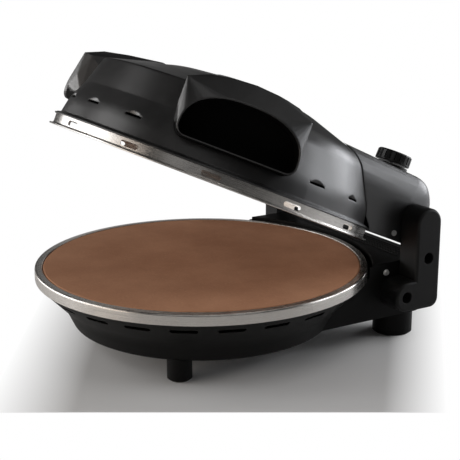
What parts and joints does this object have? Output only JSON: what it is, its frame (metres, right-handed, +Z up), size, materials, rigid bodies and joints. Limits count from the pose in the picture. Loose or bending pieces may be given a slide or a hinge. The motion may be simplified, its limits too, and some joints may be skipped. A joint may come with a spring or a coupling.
{
  "type": "countertop pizza oven",
  "caption": "Round countertop pizza oven: low base with a baking stone and steel ring, domed lid with hood handles on a rear hinge, hinge arms and a control knob.",
  "frame": {"origin": "on the baking stone's axis, at the height of the surface the feet stand on", "axes": "+Z up, -Y towards the front, the lid's hinge at +Y, +X to the right seen from the front"},
  "size_m": [0.3572, 0.395, 0.297],
  "materials": {
    "housing_plastic": "satin black moulded plastic with a fine grain",
    "arm_plastic": "satin black moulded plastic",
    "pocket_plastic": "matte black moulded plastic",
    "knob_plastic": "semi-gloss black moulded plastic",
    "band_steel": "brushed stainless steel",
    "pan_steel": "plain steel sheet",
    "dish_aluminium": "bare aluminised sheet",
    "stone": "unglazed terracotta-coloured baking stone",
    "element_steel": "oxidised heating tube",
    "clip_steel": "plain steel strip",
    "screw_steel": "bright steel",
    "bush_brass": "plain brass",
    "terminal_ceramic": "plain ceramic",
    "gland_rubber": "black rubber",
    "pad_rubber": "dark grey rubber",
    "thermostat_metal": "plain metal case"
  },
  "bodies": {
    "base": {"base_housing": "housing_plastic", "base_deck": "housing_plastic", "base_ring": "band_steel", "baking_stone": "stone", "stone_pan": "pan_steel", "lower_element": "element_steel", "lower_element_clips": "clip_steel", "terminal_block": "terminal_ceramic", "cord_gland": "gland_rubber", "hinge_arm_left": "arm_plastic", "hinge_arm_right": "arm_plastic", "arm_screws": "screw_steel", "hinge_pins": "screw_steel", "front_feet": "housing_plastic", "rear_feet": "housing_plastic", "foot_pads": "pad_rubber", "base_screws": "screw_steel"},
    "lid": {"lid_cover": "housing_plastic", "hand_pocket_left": "pocket_plastic", "hand_pocket_right": "pocket_plastic", "lid_ring": "band_steel", "lid_reflector": "dish_aluminium", "upper_element": "element_steel", "upper_element_clips": "clip_steel", "lid_rear_housing": "housing_plastic", "rear_housing_plate": "housing_plastic", "hinge_bushes": "bush_brass", "thermostat": "thermostat_metal", "knob_collar": "knob_plastic", "lid_screws": "screw_steel"},
    "knob": {"control_knob": "knob_plastic", "knob_spindle": "screw_steel"}
  },
  "joints": [
    {"name": "lid_hinge", "type": "hinge", "parent": "base", "child": "lid", "pos_m": [0, 0.1892, 0.107], "axis": [-1, 0, 0], "range_deg": [-24.2, 60.8]},
    {"name": "knob_turn", "type": "hinge", "parent": "lid", "child": "knob", "pos_m": [0.062, 0.1977, 0.1723], "axis": [0, 0.4099, 0.9121], "range_deg": [0, 270]}
  ]
}
